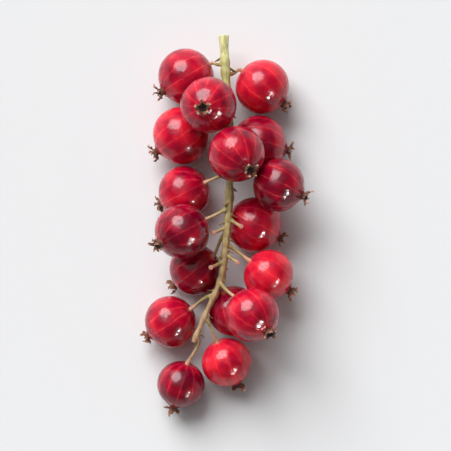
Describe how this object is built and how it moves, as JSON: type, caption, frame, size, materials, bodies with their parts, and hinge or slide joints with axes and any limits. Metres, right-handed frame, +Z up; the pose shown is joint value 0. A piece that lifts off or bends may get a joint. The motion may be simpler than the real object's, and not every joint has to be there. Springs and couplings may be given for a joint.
{
  "type": "sprig of redcurrants",
  "caption": "Picked sprig of ripe redcurrants lying down: a thin green stem whose side stalks carry round glossy berries, each with a dried flower at its end.",
  "frame": {"origin": "on the surface the sprig lies on, under the middle of its outline", "axes": "+Y along the stem towards its cut end, +Z up from the surface it lies on, +X to the right of the stem seen from above with the cut end away from the viewer"},
  "size_m": [0.0328, 0.0712, 0.0211],
  "materials": {
    "berry_skin": "glossy translucent red skin",
    "stem_bark": "matte yellow-green fresh stem, tan towards the berries",
    "dried_flower": "dull papery brown"
  },
  "bodies": {
    "root": {"stem": "stem_bark", "berry_01": "berry_skin", "berry_02": "berry_skin", "berry_03": "berry_skin", "berry_04": "berry_skin", "berry_05": "berry_skin", "berry_06": "berry_skin", "berry_07": "berry_skin", "berry_08": "berry_skin", "berry_09": "berry_skin", "berry_10": "berry_skin", "berry_11": "berry_skin", "berry_12": "berry_skin", "berry_13": "berry_skin", "berry_14": "berry_skin", "berry_15": "berry_skin", "berry_16": "berry_skin", "berry_17": "berry_skin", "calyx_01": "dried_flower", "calyx_02": "dried_flower", "calyx_03": "dried_flower", "calyx_04": "dried_flower", "calyx_05": "dried_flower", "calyx_06": "dried_flower", "calyx_07": "dried_flower", "calyx_08": "dried_flower", "calyx_09": "dried_flower", "calyx_10": "dried_flower", "calyx_11": "dried_flower", "calyx_12": "dried_flower", "calyx_13": "dried_flower", "calyx_14": "dried_flower", "calyx_15": "dried_flower", "calyx_16": "dried_flower", "calyx_17": "dried_flower"}
  },
  "joints": []
}
